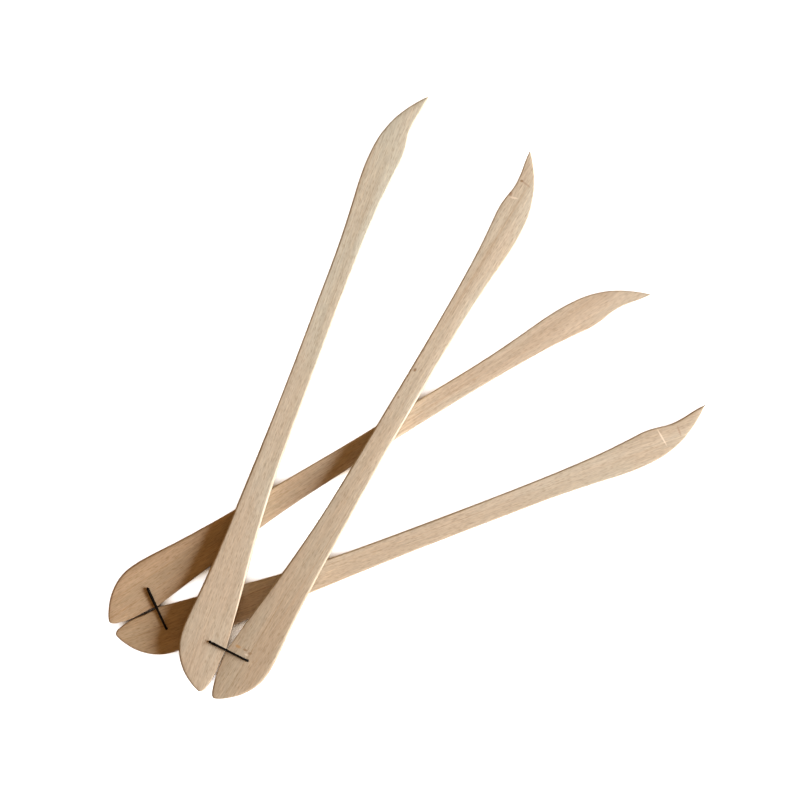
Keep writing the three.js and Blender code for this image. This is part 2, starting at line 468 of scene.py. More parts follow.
# %% Points of the rings
RINGS = 250
ARRIS_TURNS = np.radians([0, 14, 28, 42, 56, 72, 90])
FACE_POINTS = 9
ARRIS_ROOM = 1.35  # width of the crowded band beside an edge, in arrises
WIDEST_BAND = 0.45  # and at most this share of the blade's width
STEEPEST = 2.5  # where the outline is steeper than this, the band grows no wider
UNDERSIDE_SEED = 1.7  # so that the underside wanders apart from the top


def across_points(inner, outer, slant):
    """Places across the face for one ring, from its inner edge to its outer edge."""
    width = outer - inner
    band = min(ARRIS_ROOM * ARRIS_AT_BASE * slant, WIDEST_BAND * abs(width)) * np.sign(width)
    near = band * (1 - np.cos(ARRIS_TURNS))
    middle = np.linspace(inner + near[-1], outer - near[-1], FACE_POINTS + 2)[1:-1]
    return np.concatenate([inner + near, middle, outer - near[::-1]])


def ring_points(outline, seed):
    """The place along the blade, places across it, and both faces' heights for each ring."""
    rim, thickness = outline["rim"], outline["thickness"]
    end = int(rim[:, 0].argmin())
    edges = rim[: end + 1][::-1], rim[end:]
    first, last = rim[end, 0] + HAIR, rim[0, 0] - HAIR
    stations = first + (last - first) * (1 - np.cos(np.linspace(0, np.pi, RINGS))) / 2
    inner, outer = (np.interp(stations, edge[:, 0], edge[:, 1]) for edge in edges)
    squeeze = HAIR * np.sign(outer - inner)
    inner, outer = inner + squeeze, outer - squeeze
    slopes = np.gradient(inner, stations), np.gradient(outer, stations)
    slant = np.sqrt(1 + np.minimum(np.maximum(*np.abs(slopes)), STEEPEST) ** 2)
    across = np.array([across_points(*edge) for edge in zip(inner, outer, slant)])
    count = across.shape[1]
    flat = np.stack([np.repeat(stations, count), across.ravel()], axis=1)
    depth = depth_inside(flat, rim)
    heights = [
        face_height(flat[:, 0], flat[:, 1], depth, thickness, side_seed).reshape(RINGS, count)
        for side_seed in (seed, seed + UNDERSIDE_SEED)
    ]
    return stations, across, heights[0], -heights[1]


print("a ring crosses each face on", 2 * len(ARRIS_TURNS) + FACE_POINTS, "points")

# %% [markdown]
# ## The blade's mesh
# Neighbouring rings are joined with four-sided faces, and each end is closed with a face. At the
# ends some points of a ring lie nearly on each other, so those are merged first. Each blade has a
# seed, a number that makes its arris, its hollows and its grain differ from the others'.

# %% Join the rings
SIDE_POINTS = 3
SEEDS = {
    "rear_blade_left": 0.4,
    "rear_blade_right": 2.9,
    "front_blade_left": 5.3,
    "front_blade_right": 7.7,
}


def blade_mesh(name, outline, seed):
    stations, across, top, under = ring_points(outline, seed)
    steps = np.linspace(0, 1, SIDE_POINTS + 2)[1:-1]
    middle = outline["thickness"] / 2
    vertices = []
    for x, y, high, low in zip(stations, across, top, under):
        ring = list(zip(y, high))
        ring += [(y[-1], high[-1] + (low[-1] - high[-1]) * s) for s in steps]
        ring += list(zip(y[::-1], low[::-1]))
        ring += [(y[0], low[0] + (high[0] - low[0]) * s) for s in steps]
        vertices += [(x, width, middle + height) for width, height in ring]
    size = len(vertices) // RINGS
    faces = []
    for i in range(0, (RINGS - 1) * size, size):
        for j in range(size):
            k = (j + 1) % size
            faces.append((i + j, i + k, i + size + k, i + size + j))
    mesh = bpy.data.meshes.new(name)
    mesh.from_pydata(vertices, [], faces)
    shape = bmesh.new()
    shape.from_mesh(mesh)
    ends = [v for v in shape.verts if v.index < size or v.index >= (RINGS - 1) * size]
    bmesh.ops.remove_doubles(shape, verts=ends, dist=2 * HAIR)
    bmesh.ops.holes_fill(shape, edges=[e for e in shape.edges if e.is_boundary], sides=size)
    bmesh.ops.dissolve_degenerate(shape, edges=shape.edges[:], dist=SAME)
    bmesh.ops.recalc_face_normals(shape, faces=shape.faces[:])
    shape.to_mesh(mesh)
    shape.free()
    return mesh


blade_meshes = {node: blade_mesh(node, outline, SEEDS[node]) for node, outline in outlines.items()}
for node, mesh in blade_meshes.items():
    print(node, "has", len(mesh.polygons), "faces before its hole is cut")

# %% [markdown]
# ## Drill and round bit
# The cord goes down through a drilled hole in each blade, and its knot sits in a shallow pocket under
# the right blade's hole. A hole in a finished face is what a boolean does well, so each one is cut
# away by a solid of the shape of its tool. Both tools are turned about an axis, so one helper makes
# them from their profiles.

# %% Drill and round bit
TURNED_SIDES = 32
EASED = 0.1 * MM  # countersink at a hole's mouth
OVERCUT = 1 * MM  # how far a tool stands out of the wood
BIT_NOSE = 0.4 * MM


def turned(profile):
    """A solid turned on a lathe from points of (radius, height), flat at both ends."""
    shape = bmesh.new()
    turns = np.linspace(0, 2 * math.pi, TURNED_SIDES, endpoint=False)
    rows = []
    for radius, z in profile:
        rows.append([shape.verts.new((radius * math.cos(a), radius * math.sin(a), z)) for a in turns])
    for low, high in zip(rows, rows[1:]):
        for i in range(TURNED_SIDES):
            j = (i + 1) % TURNED_SIDES
            shape.faces.new((low[i], low[j], high[j], high[i]))
    shape.faces.new(rows[0][::-1])
    shape.faces.new(rows[-1])
    return shape


def drill(radius, thickness):
    wide = radius + EASED + OVERCUT
    through = ((radius, EASED), (radius, thickness - EASED))
    return turned([(wide, -OVERCUT), *through, (wide, thickness + OVERCUT)])


def round_bit(radius, depth):
    return turned([(radius, -OVERCUT), (radius, depth - BIT_NOSE), (radius - BIT_NOSE, depth)])


print("a hole is eased by", EASED / MM, "mm at each mouth")

# %% [markdown]
# ## Groove cutter
# Between the holes the cord comes back along a groove in the underside, so that the tool still lies
# flat. A round-nosed cutter leaves a half-round roof. Each blade's groove runs out past the edge on
# which the blades bear, so that the two grooves open into each other.

# %% Groove cutter and cutting
GROOVE_WIDTH = 1.8 * MM
GROOVE_DEPTH = 1.8 * MM
ARCH_POINTS = 11


def groove_cutter(run):
    """A cutter for a groove along run, open below, with a half-round roof."""
    half = GROOVE_WIDTH / 2
    turns = np.linspace(0, math.pi, ARCH_POINTS)
    arch = [(half * math.cos(a), GROOVE_DEPTH - half + half * math.sin(a)) for a in turns]
    section = [(half, -OVERCUT), *arch, (-half, -OVERCUT)]
    ahead = Vector((run[0], run[1], 0))
    aside = Vector((-run[1], run[0], 0)).normalized()
    shape = bmesh.new()
    near, far = (
        [shape.verts.new(start + aside * y + Vector((0, 0, z))) for y, z in section]
        for start in (Vector(), ahead)
    )
    for i in range(len(section)):
        j = (i + 1) % len(section)
        shape.faces.new((near[i], near[j], far[j], far[i]))
    shape.faces.new(near[::-1])
    shape.faces.new(far)
    return shape


def cut(piece, tool, place):
    """Takes the tool's solid away from the piece for good."""
    bmesh.ops.recalc_face_normals(tool, faces=tool.faces[:])
    holder = placed("tool", as_mesh("tool", tool))
    holder.matrix_world = place
    boolean = piece.modifiers.new("cut", "BOOLEAN")
    boolean.operation = "DIFFERENCE"
    boolean.solver = "MANIFOLD"
    boolean.object = holder
    bpy.context.view_layer.update()
    made = piece.evaluated_get(bpy.context.evaluated_depsgraph_get())
    result = bpy.data.meshes.new_from_object(made)
    piece.modifiers.clear()
    piece.data = result
    bpy.data.objects.remove(holder)


print("a groove is", GROOVE_WIDTH / MM, "mm wide and", GROOVE_DEPTH / MM, "mm deep")

# %% [markdown]
# ## The four blades
# Each blade is cut, moved to its place and made to follow its body of the model, and the model's own
# slab is hidden. Two measures are kept on its vertices: the place on the blade, and the distance
# from the outline. The wood reads them later, so its grain stays with the blade in every pose.

# %% Make the four blades
DRILL_RADIUS = 0.62 * MM
POCKET_RADIUS = 2.0 * MM
POCKET_DEPTH = 2.4 * MM
GROOVE_SHARE = 0.75  # how much of the way to the other hole a blade's groove runs
SHARP_ANGLE = math.radians(38)

hole_places = {
    node: axes[node] @ Vector((*outline["hole"], 0)) for node, outline in outlines.items()
}


def store_own_place(piece, outline):
    """Keeps on each vertex its place on the blade and its distance from the outline, both in mm."""
    places = np.array([tuple(v.co) for v in piece.data.vertices])
    stored = piece.data.attributes.new("own_place", "FLOAT_VECTOR", "POINT")
    stored.data.foreach_set("vector", (places / MM).astype(np.float32).ravel())
    depth = depth_inside(places[:, :2], outline["rim"])
    stored = piece.data.attributes.new("inside_rim", "FLOAT", "POINT")
    stored.data.foreach_set("value", (depth / MM).astype(np.float32))


def make_blade(pair, side):
    node = f"{pair}_blade_{side}"
    other = f"{pair}_blade_{'right' if side == 'left' else 'left'}"
    outline, place = outlines[node], axes[node]
    piece = placed(f"{pair}_blade_{side}_wood", blade_meshes[node])
    piece.matrix_world = place
    hole = place @ Matrix.Translation((*outline["hole"], 0))
    cut(piece, drill(DRILL_RADIUS, outline["thickness"]), hole)
    span = (place.inverted() @ hole_places[other]) - Vector((*outline["hole"], 0))
    cut(piece, groove_cutter(GROOVE_SHARE * span), hole)
    if side == "right":
        cut(piece, round_bit(POCKET_RADIUS, POCKET_DEPTH), hole)
    piece.data.shade_smooth()
    piece.data.set_sharp_from_angle(angle=SHARP_ANGLE)
    store_own_place(piece, outline)
    piece.data.transform(place)
    piece.matrix_world = Matrix.Identity(4)
    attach(piece, f"{pair}_{side}")
    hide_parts(node)
    print(piece.name, "has", len(piece.data.vertices), "vertices")
    return piece


blades = {f"{pair}_blade_{side}": make_blade(pair, side) for pair in PAIR_JOINTS for side in SIDES}

# %% [markdown]
# ## Solid textures
# An image of wood would repeat, and it would not turn the corner of an edge. A solid texture fills
# space, as grain fills a board. Each layer of this wood is such a texture, read in the blade's own
# axes in millimetres. It is squeezed unequally along, across and through the blade, so that it comes
# out long in the direction of the grain.

# %% Helpers for solid textures
def stretched(tree, vector, scale, shift, turn=0.0):
    """The same place in a space with other scales along its axes."""
    values = {"Vector": vector, "Scale": scale, "Location": shift, "Rotation": (0, 0, turn)}
    return add_node(tree, "ShaderNodeMapping", values).outputs["Vector"]


def noise(tree, vector, detail=3.0, roughness=0.5, distortion=0.0):
    values = {
        "Vector": vector,
        "Scale": 1.0,
        "Detail": detail,
        "Roughness": roughness,
        "Distortion": distortion,
    }
    return add_node(tree, "ShaderNodeTexNoise", values).outputs["Fac"]


def mixed(tree, share, under, over, blend="MIX"):
    """Lays one colour over another. Colours are sockets or three numbers."""
    node = add_node(tree, "ShaderNodeMix", data_type="RGBA", blend_type=blend)
    for index, value in ((0, share), (6, under), (7, over)):
        if isinstance(value, bpy.types.NodeSocket):
            tree.links.new(value, node.inputs[index])
        else:
            node.inputs[index].default_value = value if index == 0 else (*value, 1)
    return node.outputs[2]


def shaded(tree, colour, tint):
    return mixed(tree, 1.0, colour, tint, "MULTIPLY")


def tinted(tree, share, colour, tint):
    """The colour, shaded with the tint where share is 1."""
    return mixed(tree, share, colour, shaded(tree, colour, tint))


def toned(tree, colour, value):
    """The colour, times a value that is near 1."""
    values = {"Red": value, "Green": value, "Blue": value}
    return shaded(tree, colour, add_node(tree, "ShaderNodeCombineColor", values).outputs["Color"])


print("helpers: stretched, noise, mixed, shaded, tinted, toned")

# %% [markdown]
# ## Streaks, lines and fibres
# Beech is a pale, even wood. Its growth rings show as long soft streaks and a few thinner lines, and
# with them go broad blotches, short veins and very fine fibres. All of them are the same kind of
# noise, and they differ mostly in how far it is squeezed in each direction.

# %% Streaks, lines and fibres
STREAK_PALE = (0.690, 0.580, 0.450)
STREAK_DARK = (0.615, 0.505, 0.380)
BLOTCH_TINT = (1.02, 0.965, 0.93)
LINE_TINT = (0.84, 0.76, 0.68)
LINE_STRENGTH = 0.55
SQUEEZES = {  # along, across and through the blade, per mm
    "rings": (0.006, 0.20, 0.26),
    "blotches": (0.02, 0.09, 0.1),
    "lines": (0.007, 0.75, 0.5),
    "veins": (0.22, 1.7, 0.6),
    "fibres": (0.05, 2.6, 2.6),
}
NOISE_RANGE = (0.3, 0.7)  # where nearly all of the noise lies
RING_RANGE = (0.32, 0.68)
BLOTCH_RANGE = (0.35, 0.65)
LINE_RANGE = (0.56, 0.70)  # only the highest noise makes a line
VEIN_TONES = (0.91, 1.08)
FIBRE_TONES = (0.90, 1.07)


def long_grain(tree, place, shift, turn):
    """The colour of the wood without its flecks, and the fibres for later use."""
    layers = {name: stretched(tree, place, squeeze, shift, turn) for name, squeeze in SQUEEZES.items()}
    rings = noise(tree, layers["rings"], detail=4.0, roughness=0.55, distortion=0.4)
    colour = mixed(tree, between(tree, rings, *RING_RANGE), STREAK_DARK, STREAK_PALE)
    blotches = noise(tree, layers["blotches"], detail=2.0)
    colour = tinted(tree, between(tree, blotches, *BLOTCH_RANGE), colour, BLOTCH_TINT)
    lines = noise(tree, layers["lines"], detail=2.0, distortion=0.3)
    colour = tinted(tree, between(tree, lines, *LINE_RANGE, 0.0, LINE_STRENGTH), colour, LINE_TINT)
    veins = noise(tree, layers["veins"], roughness=0.6)
    colour = toned(tree, colour, between(tree, veins, *NOISE_RANGE, *VEIN_TONES))
    fibres = noise(tree, layers["fibres"], detail=5.0, roughness=0.65)
    colour = toned(tree, colour, between(tree, fibres, *NOISE_RANGE, *FIBRE_TONES))
    return colour, fibres


for name, squeeze in SQUEEZES.items():
    print(name, "are", round(squeeze[1] / squeeze[0], 1), "times as long as they are wide")

# %% [markdown]
# ## Ray flecks
# What makes beech look like beech is its rays: thousands of short flecks, a few millimetres long,
# that all lie along the grain. Noise can't make single marks, but cells can. Space is divided into
# long thin cells, and a soft lens round one point of each cell makes a fleck. Some cells stay empty,
# so that the flecks don't look like a pattern. Most flecks are dark, and a few larger ones are pale.

# %% Ray flecks
RAY_HEIGHT = 3.0  # mm that a ray runs down through the board
FLECK_FILL = 0.5  # how much of its cell a fleck fills
FLECK_HEART = 0.3  # inside this share of its size a fleck is at full strength
FADE = 0.25  # how softly the empty cells pass into full ones
FLECKS = {  # mm long and wide, the share of the cells that have one, and its strength
    "dark": {"length": 3.2, "width": 0.62, "share": 0.75, "strength": 0.5, "tint": (0.70, 0.63, 0.55)},
    "fine": {"length": 2.4, "width": 0.42, "share": 0.8, "strength": 0.42, "tint": (0.70, 0.63, 0.55)},
    "pale": {"length": 5.5, "width": 0.8, "share": 0.5, "strength": 0.7, "tint": (1.12, 1.11, 1.09)},
}


def flecks(tree, place, shift, length, width, share):
    """Short lens-shaped marks along the grain."""
    cells = stretched(tree, place, (1 / length, 1 / width, 1 / RAY_HEIGHT), shift)
    values = {"Vector": cells, "Scale": 1.0, "Randomness": 1.0}
    cell = add_node(tree, "ShaderNodeTexVoronoi", values, feature="F1")
    random = add_node(tree, "ShaderNodeSeparateColor", {"Color": cell.outputs["Color"]})
    present = between(tree, random.outputs["Red"], 1 - share, 1 - share + FADE)
    shape = between(tree, cell.outputs["Distance"], FLECK_FILL, FLECK_HEART * FLECK_FILL)
    return maths(tree, "MULTIPLY", shape, present)


def rays(tree, place, shift, colour):
    """The colour with its flecks, and each kind of fleck for later use."""
    made = {}
    for i, (kind, facts) in enumerate(FLECKS.items()):
        moved = shift[i:] + shift[:i]
        made[kind] = flecks(tree, place, moved, facts["length"], facts["width"], facts["share"])
        strength = maths(tree, "MULTIPLY", made[kind], facts["strength"])
        colour = tinted(tree, strength, colour, facts["tint"])
    return colour, made


print("flecks in mm:", {kind: (facts["length"], facts["width"]) for kind, facts in FLECKS.items()})

# %% [markdown]
# ## Ends, edges, tone and painted shade
# End grain looks darker, and edges that hands rub turn a little darker too. Each blade has a tone of
# its own, and towards its base it turns darker and warmer. That drift is partly painted shade: it
# stands in for the warm half-shadow that the upper pair throws on the lower pair's bases, and for the
# weaker light near all the bases. These changes are smooth, so no texture is needed: the way a face
# points, its distance from the outline and its place along the blade say enough.

# %% Ends, edges, tone and painted shade
END_TINT = (0.80, 0.72, 0.62)
BURNISH_TINT = (0.93, 0.90, 0.86)
END_RANGE = (0.45, 0.95)  # how squarely a face looks along the blade
BURNISH_RANGE = (0.9, 0.1)  # mm from the outline
BASE_END = -20  # mm along the blade


def aged_and_shaded(tree, place, colour, along, tones_and_shade):
    """The colour with end grain, rubbed edges, tone and painted shade, and the rubbed edges for later
    use.
    """
    facing = add_node(tree, "ShaderNodeTexCoord").outputs["Normal"]
    values = {0: facing, 1: along}
    square = add_node(tree, "ShaderNodeVectorMath", values, operation="DOT_PRODUCT").outputs["Value"]
    end = between(tree, maths(tree, "ABSOLUTE", square), *END_RANGE)
    colour = tinted(tree, end, colour, END_TINT)
    depth = add_node(tree, "ShaderNodeAttribute", attribute_name="inside_rim").outputs["Fac"]
    burnished = between(tree, depth, *BURNISH_RANGE)
    colour = tinted(tree, burnished, colour, BURNISH_TINT)
    far = add_node(tree, "ShaderNodeSeparateXYZ", {"Vector": place}).outputs["X"]
    drift = between(tree, far, BASE_END, tones_and_shade["reach"])
    return shaded(tree, colour, mixed(tree, drift, tones_and_shade["base"], tones_and_shade["tip"])), burnished


print("an edge is rubbed out to", BURNISH_RANGE[0], "mm from the outline")

# %% [markdown]
# ## Marks of single blades
# A few marks belong to single blades: a pin knot, and brown specks, a rust-coloured spot and a pale
# streak by a cord. Near two of the tips a pale line and brown lines and patches are a painted
# highlight and painted shade: the lit wall and the shaded walls of a shallow recess that the mesh
# doesn't have. An image could hold them, but for so few a formula is simpler: each mark is a soft
# ellipse in the blade's own axes that reaches a little way into the wood.

# %% A mark on a blade
# Besides real marks, PALE paints the lit wall of a recess near two tips, and BROWN and SOFT_BROWN its
# shaded walls.
BROWN = (0.30, 0.19, 0.11)
SOFT_BROWN = (0.42, 0.29, 0.20)
RUST = (0.50, 0.30, 0.13)
PALE = (0.95, 0.84, 0.70)
UPPER_FACE = 5.0  # mm above the blade's lower face
MARK_DEEP = 2.5
MARK_HEART = 0.35  # inside this share of its size a mark is at full strength


# Paints each mark as a soft ellipse; near two tips these are the painted highlight and shade of a
# recess.
def marks_and_painted_light(tree, place, colour, painted_marks):
    for (x, y), (length, width), turn, strength, paint in painted_marks:
        values = {
            "Vector": place,
            "Location": (x, y, UPPER_FACE),
            "Rotation": (0, 0, math.radians(turn)),
            "Scale": (length / 2, width / 2, MARK_DEEP),
        }
        inside = add_node(tree, "ShaderNodeMapping", values, vector_type="TEXTURE").outputs["Vector"]
        far = add_node(tree, "ShaderNodeVectorMath", {0: inside}, operation="LENGTH").outputs["Value"]
        share = between(tree, far, 1.0, MARK_HEART, 0.0, strength)
        colour = mixed(tree, share, colour, paint)
    return colour


MARKS = {  # middle in mm, length and width in mm, turn in degrees, strength, and colour
    "rear_blade_left": [],
    "rear_blade_right": [
        # near the tip: a painted highlight and painted shade, the lit and the shaded wall of a shallow
        # recess
        ((235.6, -6.9), (11.5, 1.0), -80, 0.75, PALE),
        ((243.7, -6.8), (6.4, 1.2), -89, 0.6, SOFT_BROWN),
    ],
    "front_blade_left": [],
    "front_blade_right": [
        ((148.5, -7.1), (2.4, 1.7), 0, 0.85, BROWN),
        ((134.4, -7.1), (1.9, 1.3), 10, 0.7, SOFT_BROWN),
        ((128.2, -6.2), (1.6, 1.1), 0, 0.7, SOFT_BROWN),
        ((4.2, -3.7), (3.6, 2.0), -85, 0.75, RUST),
        ((4.5, -7.2), (2.6, 1.5), -85, 0.75, BROWN),
        ((4.3, -9.8), (2.8, 1.7), -60, 0.65, BROWN),
        ((3.0, -8.6), (2.4, 1.2), -85, 0.45, PALE),
        # near the tip: painted shade and a painted highlight, the shaded and the lit walls of a shallow
        # recess
        ((244.2, -4.1), (2.4, 1.6), -70, 0.8, BROWN),
        ((244.0, -6.5), (6.6, 1.2), -96, 0.55, SOFT_BROWN),
        ((236.8, -2.9), (3.0, 2.0), 10, 0.85, SOFT_BROWN),
        ((236.0, -5.0), (5.2, 1.3), -71, 0.65, PALE),
    ],
}
print("marks:", {node: len(painted_marks) for node, painted_marks in MARKS.items()})

# %% [markdown]
# ## Beech
# The layers now come together in one finish for each blade. Sanded beech is matt with a soft gleam,
# and a little smoother on the high fibres and on the rubbed edges. The fibres stand up by hundredths
# of a millimetre and the flecks sink, which is far too fine for a mesh, so a bump does that. The
# grain is turned a little on each blade, because no board is cut quite true.

# %% Beech on each blade
ROUGH_TONES = (0.66, 0.52)  # from the low to the high places of the fibres
EDGE_GLEAM = 0.07
WOOD_SPECULAR = 0.35
FLECK_SINKS = {"dark": 0.5, "fine": 0.3}  # against the height of the fibres
GRAIN_BUMP = {"Strength": 0.35, "Distance": 0.05 * MM}
SEED_STEPS = (31.7, 17.3, 7.9)  # mm between the places in the textures of two seeds
GRAIN_TURNS = {
    "rear_blade_left": 0.02,
    "rear_blade_right": -0.035,
    "front_blade_left": 0.03,
    "front_blade_right": -0.02,
}
# The darker, warmer base of each blade is partly painted shade: half-shadow and weaker light there.
TONES_AND_PAINTED_SHADE = {  # at the base, at the tip, and how many mm along the change is complete
    "rear_blade_left": {"base": (0.84, 0.78, 0.69), "tip": (0.92, 0.97, 1.01), "reach": 190},
    "rear_blade_right": {"base": (0.82, 0.76, 0.66), "tip": (0.92, 0.99, 1.04), "reach": 100},
    "front_blade_left": {"base": (0.92, 0.98, 1.02), "tip": (1.01, 1.20, 1.34), "reach": 230},
    "front_blade_right": {"base": (0.77, 0.79, 0.78), "tip": (1.01, 1.12, 1.20), "reach": 190},
}


def beech(node):
    material, tree, surface = new_material("beech_" + node)
    place = add_node(tree, "ShaderNodeAttribute", attribute_name="own_place").outputs["Vector"]
    shift = tuple(step * SEEDS[node] for step in SEED_STEPS)

    colour, fibres = long_grain(tree, place, shift, GRAIN_TURNS[node])
    colour, made = rays(tree, place, shift, colour)
    colour, burnished = aged_and_shaded(tree, place, colour, axes[node].col[0].xyz, TONES_AND_PAINTED_SHADE[node])
    tree.links.new(marks_and_painted_light(tree, place, colour, MARKS[node]), surface.inputs["Base Color"])

    rough = between(tree, fibres, *NOISE_RANGE, *ROUGH_TONES)
    rough = maths(tree, "SUBTRACT", rough, maths(tree, "MULTIPLY", burnished, EDGE_GLEAM))
    tree.links.new(rough, surface.inputs["Roughness"])
    surface.inputs["Specular IOR Level"].default_value = WOOD_SPECULAR

    height = fibres
    for kind, sink in FLECK_SINKS.items():
        height = maths(tree, "SUBTRACT", height, maths(tree, "MULTIPLY", made[kind], sink))
    bump = add_node(tree, "ShaderNodeBump", {"Height": height, **GRAIN_BUMP})
    tree.links.new(bump.outputs["Normal"], surface.inputs["Normal"])
    return material


for node, piece in blades.items():
    wood = beech(node)
    piece.data.materials.clear()
    piece.data.materials.append(wood)
    print(node, "has", len(wood.node_tree.nodes), "nodes in its finish")

# %% [markdown]
# ## The cord's way
# The cord is thin round elastic. On each pair one piece of it goes from its knot over the top, down
# through the left hole and back along the grooves to the knot. It lies straight between the holes
# and bends tightly at them. So its way is set out as corners, each corner is rounded, and the line
# is divided into even steps for the rings of a tube.

# %% The cord's way round the blades
CORD_RADIUS = 0.5 * MM
CORD_LIFT = 0.06 * MM  # between the cord and the wood it lies on
CORD_BEND = 0.75 * MM
CORD_STEP = 0.11 * MM
BEND_POINTS = 9


def rounded(corners, bend):
    """Points along straight runs, with each corner rounded."""
    line = [corners[0]]
    for before, corner, after in zip(corners, corners[1:], corners[2:]):
        start = corner + (before - corner).normalized() * bend
        end = corner + (after - corner).normalized() * bend
        for t in np.linspace(0, 1, BEND_POINTS):
            line.append(start * (1 - t) ** 2 + corner * 2 * t * (1 - t) + end * t**2)
    return [*line, corners[-1]]


def even_steps(line, step):
    points = np.array([tuple(p) for p in line])
    gaps = np.linalg.norm(np.diff(points, axis=0), axis=1)
    points = points[np.concatenate([[True], gaps > SAME])]
    gaps = np.linalg.norm(np.diff(points, axis=0), axis=1)
    far = np.concatenate([[0], np.cumsum(gaps)])
    stops = np.linspace(0, far[-1], max(2, round(far[-1] / step)))
    return np.stack([np.interp(stops, far, points[:, i]) for i in range(3)], axis=1)


print("a cord is", 2 * CORD_RADIUS / MM, "mm thick and has a ring every", CORD_STEP / MM, "mm")

# %% [markdown]
# ## The braided cover
# The elastic wears a cover of braided yarns. Half of them wind one way round and half the other, and
# each passes over and under the ones it meets. A curve with a bevel would be smooth like wire. So
# the tube is built ring by ring, and its radius rises and dips with the yarns.

# %% A braided tube along a line
CORD_SIDES = 20
YARNS = 6  # in each direction round the cord
PLAIT_LENGTH = 3.2 * MM  # one turn of a yarn round the cord
PLAIT_DEPTH = 0.09
YARN_DIP = 0.3  # how far a yarn sinks where another passes over it


def plait(turn, far):
    """How proud the cover stands at an angle round the cord and a distance along it."""
    u = YARNS * turn / (2 * math.pi) + YARNS * far / PLAIT_LENGTH
    v = YARNS * turn / (2 * math.pi) - YARNS * far / PLAIT_LENGTH
    over = 0.5 + 0.5 * np.cos(math.pi * (u + v)) * np.cos(math.pi * (u - v))
    yarn_u = np.abs(np.cos(math.pi * u)) * (1 - YARN_DIP * (1 - over))
    yarn_v = np.abs(np.cos(math.pi * v)) * (1 - YARN_DIP * over)
    return np.maximum(yarn_u, yarn_v)


def braided_tube(shape, uv, points, radius, closed=False):
    """Adds the tube to the shape and returns how long it is."""
    runs = np.roll(points, -1, axis=0) - points
    if not closed:
        runs[-1] = runs[-2]
    tangents = runs / np.linalg.norm(runs, axis=1)[:, None]
    side = Vector(tangents[0]).orthogonal().normalized()
    turns = np.linspace(0, 2 * math.pi, CORD_SIDES, endpoint=False)
    far = 0.0
    rows = []
    for i, (point, tangent) in enumerate(zip(points, tangents)):
        ahead = Vector(tangent)
        side = (side - ahead * side.dot(ahead)).normalized()
        other = ahead.cross(side)
        proud = radius[i] * (1 - PLAIT_DEPTH * (1 - plait(turns, far)))
        ring = [(side * math.cos(a) + other * math.sin(a)) * r for a, r in zip(turns, proud)]
        rows.append([shape.verts.new(Vector(point) + spoke) for spoke in ring])
        far += float(np.linalg.norm(runs[i]))
    joined = list(zip(rows, rows[1:])) + ([(rows[-1], rows[0])] if closed else [])
    for k, (low, high) in enumerate(joined):
        for i in range(CORD_SIDES):
            j = (i + 1) % CORD_SIDES
            face = shape.faces.new((low[i], low[j], high[j], high[i]))
            corners = ((i, k), (i + 1, k), (i + 1, k + 1), (i, k + 1))
            for loop, (a, b) in zip(face.loops, corners):
                loop[uv].uv = (a / CORD_SIDES, b * CORD_STEP / MM)
    if not closed:
        shape.faces.new(rows[0][::-1])
        shape.faces.new(rows[-1])
    return far


print("a yarn goes round the cord every", PLAIT_LENGTH / MM, "mm")

# %% [markdown]
# ## The knot
# An overhand knot has three lobes that pass over and under each other. A short formula gives that
# line, where drawing it by hand would take many points. It is made as a closed ring round the cord's
# end, without loose ends, because it lies hidden in its pocket.

# %% An overhand knot
KNOT_POINTS = 120
KNOT_REACH = 1.05 * MM
KNOT_RADIUS = 0.42 * MM
KNOT_HALF_HEIGHT = 0.42 * MM


def overhand(centre, up, ahead):
    """The closed three-lobed line of an overhand knot."""
    across = up.cross(ahead)
    t = np.linspace(0, 2 * math.pi, KNOT_POINTS, endpoint=False)
    x = KNOT_REACH * (np.sin(t) + 2 * np.sin(2 * t)) / 3
    y = KNOT_REACH * (np.cos(t) - 2 * np.cos(2 * t)) / 3
    z = -KNOT_HALF_HEIGHT * np.sin(3 * t)
    return np.array([tuple(centre + ahead * a + across * b + up * c) for a, b, c in zip(x, y, z)])


print("the knot is", round(2 * (KNOT_REACH + KNOT_RADIUS) / MM, 1), "mm wide at most")

# %% [markdown]
# ## Black elastic
# The cover is almost black and hardly shines. Its yarns are bundles of filaments, which are too fine
# for the mesh, so they are a noise along the cord's own coordinates that changes the roughness and
# the bump. A little dust makes the black uneven.

# %% Cord material
CORD_BLACK = (0.003, 0.002, 0.001)
CORD_DUSTY = (0.011, 0.008, 0.006)
FILAMENT_SQUEEZE = (60, 14, 1)
FILAMENT_TURN = 0.5
DUST_SQUEEZE = (3, 0.6, 1)
DUST_SHIFT = (4, 2, 0)
DUST_RANGE = (0.3, 0.8)
PROUD_RANGE = (0.4, 0.75)  # dust stays only on the high filaments
CORD_ROUGH_TONES = (0.9, 0.72)
CORD_SPECULAR = 0.12
CORD_BUMP = {"Strength": 0.4, "Distance": 0.03 * MM}


def braided_elastic():
    material, tree, surface = new_material("black_elastic")
    round_cord = add_node(tree, "ShaderNodeTexCoord").outputs["UV"]
    yarn = stretched(tree, round_cord, FILAMENT_SQUEEZE, (0, 0, 0), FILAMENT_TURN)
    filament = noise(tree, yarn, roughness=0.6)
    proud = between(tree, filament, *PROUD_RANGE)
    dust = noise(tree, stretched(tree, round_cord, DUST_SQUEEZE, DUST_SHIFT))
    share = maths(tree, "MULTIPLY", proud, between(tree, dust, *DUST_RANGE))
    tree.links.new(mixed(tree, share, CORD_BLACK, CORD_DUSTY), surface.inputs["Base Color"])
    rough = between(tree, filament, *NOISE_RANGE, *CORD_ROUGH_TONES)
    tree.links.new(rough, surface.inputs["Roughness"])
    surface.inputs["Specular IOR Level"].default_value = CORD_SPECULAR
    bump = add_node(tree, "ShaderNodeBump", {"Height": filament, **CORD_BUMP})
    tree.links.new(bump.outputs["Normal"], surface.inputs["Normal"])
    return material


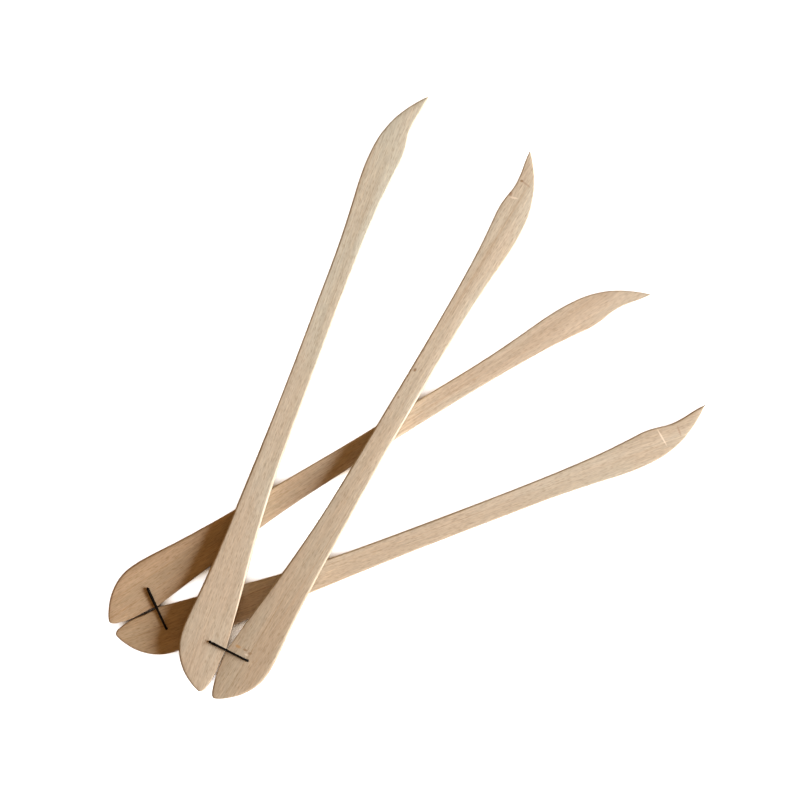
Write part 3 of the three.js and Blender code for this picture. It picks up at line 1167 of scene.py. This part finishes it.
elastic = braided_elastic()
print(elastic.name, "has", len(elastic.node_tree.nodes), "nodes")

# %% [markdown]
# ## The cord's line and thickness
# When a pair pinches, its two blades turn about the corner on which they bear, and the cord has to
# bend there. The whole cord of a pair is one mesh. Over its left half the cord is a little slacker
# and so thicker.

# %% The cord's line and thickness
SWELLS = {"rear": 1.3, "front": 1.1}  # how much thicker the left half is above the wood
SWELL_START = 0.45  # share of the way from the right hole to the left one
SWELL_RUN = 0.2
UNDER_DROP = 0.35 * MM  # more room above the cord in its groove
KNOT_CLEAR = 0.2 * MM  # between the knot and the underside


def cord_line(pair, left, right, up, thickness):
    """The cord's line from its knot, and its radius at each point of it."""
    over = up * (thickness + CORD_LIFT + CORD_RADIUS * SWELLS[pair])
    under = up * (GROOVE_DEPTH - CORD_LIFT - CORD_RADIUS - UNDER_DROP)
    knot = right + up * (KNOT_CLEAR + KNOT_HALF_HEIGHT + KNOT_RADIUS)
    corners = [knot, right + over, left + over, left + under, right + under]
    line = even_steps(rounded(corners, CORD_BEND), CORD_STEP)
    ahead = np.array((left - right).normalized())
    towards_left = (line - np.array(right)) @ ahead / (left - right).length
    share = np.clip((towards_left - SWELL_START) / SWELL_RUN, 0, 1)
    above = line @ np.array(up) > (right + up * thickness).dot(up)
    return line, CORD_RADIUS * (1 + (SWELLS[pair] - 1) * share * above), knot


print("the left half is thicker by:", {pair: f"{swell - 1:.0%}" for pair, swell in SWELLS.items()})

# %% [markdown]
# ## Lacing
# For each pair the tube and its knot are put in one mesh, which stands in for the model's three
# parts of cord.


def lace(pair):
    left_node, right_node = f"{pair}_blade_left", f"{pair}_blade_right"
    up = axes[left_node].to_3x3() @ Vector((0, 0, 1))
    left, right = hole_places[left_node], hole_places[right_node]
    ahead = (left - right).normalized()
    line, radius, knot = cord_line(pair, left, right, up, outlines[left_node]["thickness"])
    shape = bmesh.new()
    uv = shape.loops.layers.uv.new("braid")
    length = braided_tube(shape, uv, line, radius)
    loop = overhand(knot, up, ahead)
    length += braided_tube(shape, uv, loop, np.full(len(loop), KNOT_RADIUS), closed=True)
    bmesh.ops.recalc_face_normals(shape, faces=shape.faces[:])
    cord = placed(f"{pair}_lacing", as_mesh(f"{pair}_cord", shape))
    cord.data.shade_smooth()
    cord.data.materials.append(elastic)
    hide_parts(f"{pair}_cord_left", f"{pair}_cord_right", f"{pair}_cord_tie")
    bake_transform(cord)
    print(cord.name, "is", round(length / MM, 1), "mm of cord")


for pair in PAIR_JOINTS:
    lace(pair)

# %% [markdown]
# ## Last step
# The scene is brought up to date.

# %% Finish
bpy.context.view_layer.update()
